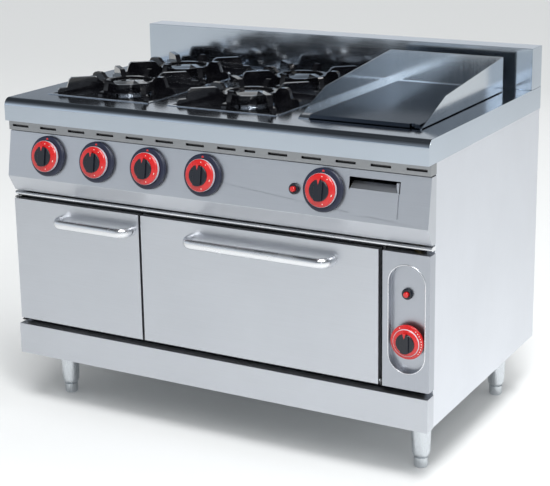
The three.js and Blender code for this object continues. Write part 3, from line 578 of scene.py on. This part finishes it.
def knob_skirt(name, radius, print_angles, raised):
    """Red skirt with small printed dots and a pale band, which is a painted highlight; together
    with the grip it hides the plain CAD knob.
    """
    mesh_data = bmesh.new()
    if raised:
        profile = [
            (0.008, SKIRT_BASE),
            (radius, SKIRT_BASE),
            (radius, 0.0185),
            (radius * 0.80, 0.0215),
            (radius * 0.76, FACE - 0.0025),
            (radius * 0.58, FACE),
            (0.008, FACE),
        ]
    else:
        profile = [
            (0.008, SKIRT_BASE),
            (radius, SKIRT_BASE),
            (radius, 0.0220),
            (radius * 0.93, FACE - 0.0030),
            (radius * 0.66, FACE),
            (0.008, FACE),
        ]
    add_lathe(mesh_data, rounded_profile(profile, 0.0014), 72)
    hub_top = SKIRT_BASE + 0.001
    hub = [(0.0045, 0.0040), (0.0115, 0.0040), (0.0115, hub_top), (0.0045, hub_top)]
    add_lathe(mesh_data, hub, 40)
    # The pale band is a painted highlight. It is a light ring on the skirt's rim, and on the raised
    # knob on the shoulder of its step, standing for the gloss highlight of the red plastic.
    if raised:
        band = [
            (radius * 0.74, 0.0224),
            (radius * 0.805, 0.0224),
            (radius * 0.785, 0.0244),
            (radius * 0.74, 0.0244),
        ]
    else:
        band = [
            (radius * 0.95, 0.0148),
            (radius + 0.0004, 0.0148),
            (radius + 0.0004, 0.0212),
            (radius * 0.95, 0.0212),
        ]
    add_lathe(mesh_data, rounded_profile(band, 0.0003, 2), 72, material=PAINTED_HIGHLIGHT)
    reach = radius * (0.90 if raised else 0.83)
    height = 0.0201 if raised else FACE - 0.0016
    for angle_deg in print_angles:
        angle = math.radians(angle_deg)
        dot = bmesh.new()
        bmesh.ops.create_uvsphere(dot, u_segments=10, v_segments=6, radius=DOT_RADIUS)
        flat = Matrix.Translation((reach * math.sin(angle), reach * math.cos(angle), height))
        append(mesh_data, dot, WHITE, flat @ Matrix.Diagonal((1, 1, 0.35, 1)))
    place = facing_out(name)
    obj = new_piece(f"{name}_skirt", mesh_data, SKIRT_COLOURS, name, place)
    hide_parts(name)


def knob_grip(name, radius):
    """Black grip: a round boss with a ridge across it and a red pointer let into its top end."""
    mesh_data = bmesh.new()
    low, shoulder, top = FACE + 0.0002, FACE + 0.0032, FACE + 0.0072
    boss = [
        (0.004, low),
        (radius, low),
        (radius * 0.97, shoulder - 0.001),
        (radius * 0.90, shoulder),
        (0.004, shoulder),
    ]
    add_lathe(mesh_data, rounded_profile(boss, 0.0012), 56)
    half_width = radius * 0.42
    reach = math.sqrt(radius**2 - half_width**2) - 0.0005
    outline = [(half_width, -reach), (half_width, reach)]
    for first_angle in (66, 246):
        for step in range(1, 8):
            angle = math.radians(first_angle + step * 6)
            outline.append((radius * 0.98 * math.cos(angle), radius * 0.98 * math.sin(angle)))
        if first_angle == 66:
            outline += [(-half_width, reach), (-half_width, -reach)]
    add_prism(mesh_data, outline, shoulder - 0.0005, top, bevel=0.0010)
    pointer = [(-0.0045, radius * 1.10), (0, radius * 0.52), (0.0045, radius * 1.10)]
    add_prism(mesh_data, pointer[::-1], low, top + 0.0002, bevel=0.0004, material=1)
    new_piece(f"{name}_grip", mesh_data, ["black", "red"], name, facing_out(name))


def dial_plate(name):
    """Dark domed bezel behind a panel knob, with a small red mark at its top."""
    mesh_data = bmesh.new()
    radius = 0.0525
    crown = 0.0118
    profile = [
        (0.0125, 0.0003),
        (radius, 0.0003),
        (radius, 0.0088),
        (radius * 0.95, crown - 0.0008),
        (radius * 0.82, crown),
        (0.0125, crown),
    ]
    add_lathe(mesh_data, rounded_profile(profile, 0.0035, 6), 72)
    mark = [(-0.0032, 0.0430), (0.0032, 0.0430), (0.0026, 0.0464), (0, 0.0480), (-0.0026, 0.0464)]
    add_prism(mesh_data, mark, crown - 0.0008, crown + 0.0002, material=1)
    new_piece(f"{name}_dial", mesh_data, ["navy", "red"], ROOT, facing_out(name))


def igniter_ring(name):
    """Black threaded ring that an igniter button stands out of."""
    mesh_data = bmesh.new()
    profile = [
        (0.0092, 0.0003),
        (0.0135, 0.0003),
        (0.0135, 0.0055),
        (0.0120, 0.0082),
        (0.0074, 0.0082),
        (0.0074, 0.0060),
        (0.0092, 0.0060),
    ]
    add_lathe(mesh_data, rounded_profile(profile, 0.0006, 3), 40)
    new_piece(f"{name}_ring", mesh_data, ["black"], ROOT, igniter_place(name))


# The button reaches 22 mm behind the face and 15 mm in front of it, so its middle is this deep.
BUTTON_SINK = 0.0035


def igniter_place(name):
    """The middle of the hole an igniter button stands in, on the face of its panel."""
    place = facing_out(name)
    low, high = (Vector(corner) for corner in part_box(name))
    middle = place.inverted() @ ((low + high) / 2)
    return place @ Matrix.Translation((middle.x, middle.y, middle.z + BUTTON_SINK))


# ---- Small fittings ---------------------------------------------------------------------------
def slot_shade_plate():
    """Dark plate behind the slots of the ventilation strip: painted shade that stands for the
    shadow inside the slots.
    """
    low, high = (Vector(corner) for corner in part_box("vent_strip"))
    inset = 0.004
    depth = low.y + 0.008
    outline = [
        (low.x + inset, low.z + inset),
        (high.x - inset, low.z + inset),
        (high.x - inset, high.z - inset),
        (low.x + inset, high.z - inset),
    ]
    mesh_data = bmesh.new()
    add_prism(mesh_data, outline, 0, 0.001)
    upright = Matrix.Translation((0, depth, 0)) @ Matrix.Rotation(math.pi / 2, 4, "X")
    new_piece("slot_shade_plate", mesh_data, ["enamel"], ROOT, upright)


def dish_rim():
    """Fine rounded lip that is pressed up round the long dish of the oven's column."""
    low, high = (Vector(corner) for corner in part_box("oven_column_panel"))
    left, right = low.x + 0.0150, high.x - 0.0110
    bottom, top = low.z + 0.0400, high.z - 0.0280
    radius = (right - left) / 2
    lip = 0.0013
    steps = 24
    sides = 10
    middle = (left + right) / 2
    centres = [(middle, top - radius, 0), (middle, bottom + radius, math.pi)]
    path = []
    for x, z, start in centres:
        for step in range(steps + 1):
            angle = start + math.pi * step / steps
            path.append((Vector((x, low.y, z)), Vector((math.cos(angle), 0, math.sin(angle)))))
    mesh_data = bmesh.new()
    rings = []
    for centre, outward in path:
        ring = []
        for step in range(sides):
            angle = 2 * math.pi * step / sides
            across = outward * (radius + lip * math.cos(angle))
            offset = across + Vector((0, lip * math.sin(angle), 0))
            ring.append(mesh_data.verts.new(centre + offset))
        rings.append(ring)
    for i, ring in enumerate(rings):
        following = rings[(i + 1) % len(rings)]
        for j in range(len(ring)):
            k = (j + 1) % len(ring)
            mesh_data.faces.new([ring[j], ring[k], following[k], following[j]])
    bmesh.ops.recalc_face_normals(mesh_data, faces=mesh_data.faces)
    new_piece("column_dish_rim", mesh_data, ["chrome"], ROOT)


def back_screws():
    """Hexagon screws with washers round the edge of the back panel."""
    low, high = (Vector(corner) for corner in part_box("back_panel"))
    edge = 0.014
    count_x, count_z = 6, 4
    places = []
    for i in range(count_x):
        x = low.x + edge + (high.x - low.x - 2 * edge) * i / (count_x - 1)
        places += [(x, low.z + edge), (x, high.z - edge)]
    for i in range(1, count_z - 1):
        z = low.z + edge + (high.z - low.z - 2 * edge) * i / (count_z - 1)
        places += [(low.x + edge, z), (high.x - edge, z)]
    head_radius = 0.0040
    corners = [math.radians(angle) for angle in range(0, 360, 60)]
    hexagon = [(head_radius * math.cos(a), head_radius * math.sin(a)) for a in corners]
    washer = [(0.0005, 0.0001), (0.0062, 0.0001), (0.0062, 0.0010), (0.0005, 0.0010)]
    mesh_data = bmesh.new()
    for x, z in places:
        screw = bmesh.new()
        add_lathe(screw, washer, 20)
        add_prism(screw, hexagon, 0.0009, 0.0042, bevel=0.0004)
        facing_back = Matrix.Translation((x, high.y, z)) @ Matrix.Rotation(-math.pi / 2, 4, "X")
        append(mesh_data, screw, 0, facing_back)
    new_piece("back_screws", mesh_data, ["foot"], ROOT)


def burner_ports(place):
    """Ring of flame teeth round the rim of a burner's head."""
    cap_low, cap_high = (Vector(corner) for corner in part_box(f"{place}_burner_cap"))
    middle = (cap_low + cap_high) / 2
    _, head_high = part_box(f"{place}_burner")
    rim_radius = 0.0560
    tooth = {"depth": 0.0024, "width": 0.0026, "bottom": -0.0110, "top": -0.0006}
    count = 44
    mesh_data = bmesh.new()
    for i in range(count):
        made = bmesh.new()
        half = tooth["width"] / 2
        outline = [(0, -half), (tooth["depth"], -half), (tooth["depth"], half), (0, half)]
        add_prism(made, outline, tooth["bottom"], tooth["top"], bevel=0.0005)
        turn = Matrix.Rotation(2 * math.pi * i / count, 4, "Z")
        append(mesh_data, made, 0, turn @ Matrix.Translation((rim_radius, 0, 0)))
    rim = Matrix.Translation((middle.x, middle.y, head_high[2]))
    new_piece(f"{place}_burner_ports", mesh_data, ["iron"], ROOT, rim)


# ---- Floor and light -----------------------------------------------------------------------------
FLOOR_COLOUR = (0.82, 0.83, 0.83)
FLOOR_RADIUS = 60


def make_floor():
    """A plain pale floor of one colour."""
    mesh_data = bmesh.new()
    bmesh.ops.create_circle(mesh_data, cap_ends=True, segments=96, radius=FLOOR_RADIUS)
    mesh = bpy.data.meshes.new("floor")
    mesh_data.to_mesh(mesh)
    mesh_data.free()
    floor = bpy.data.objects.new("floor", mesh)
    bpy.context.scene.collection.objects.link(floor)
    material, _ = new_material("studio_floor", FLOOR_COLOUR, roughness=0.7)
    mesh.materials.append(material)


# Name, place, the point it is aimed at, size in metres and power in watts.
AREA_LIGHTS = [
    ("key", (2.9, -3.0, 3.6), (0, 0, 0.6), (1.0, 0.8), 42),
    ("side_fill", (4.6, 1.6, 1.6), (0.6, 0, 0.5), (3.0, 2.4), 28),
    ("back_card", (-0.7, 4.2, 2.1), (-0.3, 0, 0.9), (5.2, 2.2), 12),
    ("corner_strip", (2.1, -4.0, 1.6), (0.25, 0.2, 0.9), (0.45, 1.2), 3.6),
    ("rim_glint", (1.25, -1.5, 2.6), (-0.1, -0.4, 0.75), (0.6, 0.6), 20),
    ("knob_sheen", (0.6, -3.4, 3.0), (-0.1, -0.4, 0.7), (0.9, 0.9), 14),
    ("iron_glint", (0.9, 0.8, 3.1), (-0.1, 0, 0.9), (1.5, 0.7), 26),
]
SUN_STRENGTH = 1.6


def area_light(name, place, aim, size, power):
    """A soft rectangle of light that the camera doesn't see."""
    data = bpy.data.lights.new(name, "AREA")
    data.shape = "RECTANGLE"
    data.size, data.size_y = size
    data.energy = power
    light = bpy.data.objects.new(name, data)
    bpy.context.scene.collection.objects.link(light)
    light.location = place
    light.visible_camera = False
    towards = Vector(aim) - Vector(place)
    light.rotation_euler = towards.to_track_quat("-Z", "Y").to_euler()


# Brightness of the room, seen in reflections only, against the height of a direction.
ROOM_BACK = [(0.0, 0.80), (0.10, 0.55), (0.20, 0.22), (0.45, 0.08), (0.80, 0.04), (1.0, 0.05)]
ROOM_FRONT_LEFT = [
    (0.0, 0.84),
    (0.12, 0.84),
    (0.30, 0.60),
    (0.50, 0.22),
    (0.80, 0.04),
    (1.0, 0.06),
]
ROOM_FRONT = [
    (0.0, 0.84),
    (0.07, 0.74),
    (0.13, 0.20),
    (0.30, 0.24),
    (0.50, 0.18),
    (0.80, 0.04),
    (1.0, 0.06),
]
EVEN_LIGHT = (0.42, 0.43, 0.435, 1)
BACKDROP = (0.86, 0.87, 0.88, 1)


def world_mix(tree, factor, first, second):
    """Mixes two colours of the world; each is a colour or a socket."""
    mix = tree.nodes.new("ShaderNodeMix")
    mix.data_type = "RGBA"
    tree.links.new(factor, mix.inputs[MIX_FACTOR])
    for socket, value in ((MIX_A, first), (MIX_B, second)):
        if isinstance(value, bpy.types.NodeSocket):
            tree.links.new(value, mix.inputs[socket])
        else:
            mix.inputs[socket].default_value = value
    return mix.outputs[MIX_RESULT]


def make_world():
    """A pale backdrop for the camera, even light, and a dim room for reflections."""
    world = bpy.data.worlds.new("studio")
    bpy.context.scene.world = world
    world.use_nodes = True
    tree = world.node_tree
    background = tree.nodes["Background"]
    coordinates = tree.nodes.new("ShaderNodeTexCoord")
    split = tree.nodes.new("ShaderNodeSeparateXYZ")
    rays = tree.nodes.new("ShaderNodeLightPath")
    tree.links.new(coordinates.outputs["Generated"], split.inputs["Vector"])
    walls = []
    for stops in (ROOM_FRONT_LEFT, ROOM_FRONT, ROOM_BACK):
        ramp = tree.nodes.new("ShaderNodeValToRGB")
        tree.links.new(split.outputs["Z"], ramp.inputs["Fac"])
        ramp.color_ramp.elements[0].position = stops[0][0]
        ramp.color_ramp.elements[1].position = stops[-1][0]
        for position, _ in stops[1:-1]:
            ramp.color_ramp.elements.new(position)
        for element, (_, grey) in zip(ramp.color_ramp.elements, stops):
            element.color = (grey * 0.92, grey, grey * 1.10, 1)
        walls.append(ramp.outputs["Color"])
    room = walls[0]
    for wall, axis, start, end in ((walls[1], "X", -0.52, -0.42), (walls[2], "Y", -0.5, 0.1)):
        turn = tree.nodes.new("ShaderNodeMapRange")
        turn.inputs["From Min"].default_value = start
        turn.inputs["From Max"].default_value = end
        tree.links.new(split.outputs[axis], turn.inputs["Value"])
        room = world_mix(tree, turn.outputs["Result"], room, wall)
    lit = world_mix(tree, rays.outputs["Is Glossy Ray"], EVEN_LIGHT, room)
    seen = world_mix(tree, rays.outputs["Is Camera Ray"], lit, BACKDROP)
    tree.links.new(seen, background.inputs["Color"])
    background.inputs["Strength"].default_value = 1.0


def make_studio():
    """The surroundings, the floor, soft lights and a soft sun."""
    make_world()
    make_floor()
    for light in AREA_LIGHTS:
        area_light(*light)
    overhead = bpy.data.lights.new("overhead", "SUN")
    overhead.energy = SUN_STRENGTH
    overhead.angle = math.radians(23)
    sky = bpy.data.objects.new("overhead", overhead)
    bpy.context.scene.collection.objects.link(sky)
    sky.rotation_euler = (math.radians(20), math.radians(14), 0)
    bpy.context.scene.view_settings.view_transform = "Standard"


# ---- Build ------------------------------------------------------------------------------------
make_camera()
make_studio()
dress_nodes()
for knob in PANEL_KNOBS:
    dial_plate(knob)
    knob_skirt(knob, 0.0400, [8, 34, 104, 108, 162], raised=False)
    knob_grip(knob, 0.0260)
knob_skirt("oven_knob", 0.0418, [-28, 38, 48, 58, 68, 78, 88, 98, 108, 118, 128], raised=True)
knob_grip("oven_knob", 0.0240)
for button in IGNITERS:
    igniter_ring(button)
slot_shade_plate()
dish_rim()
back_screws()
for burner in PLACES:
    burner_ports(burner)
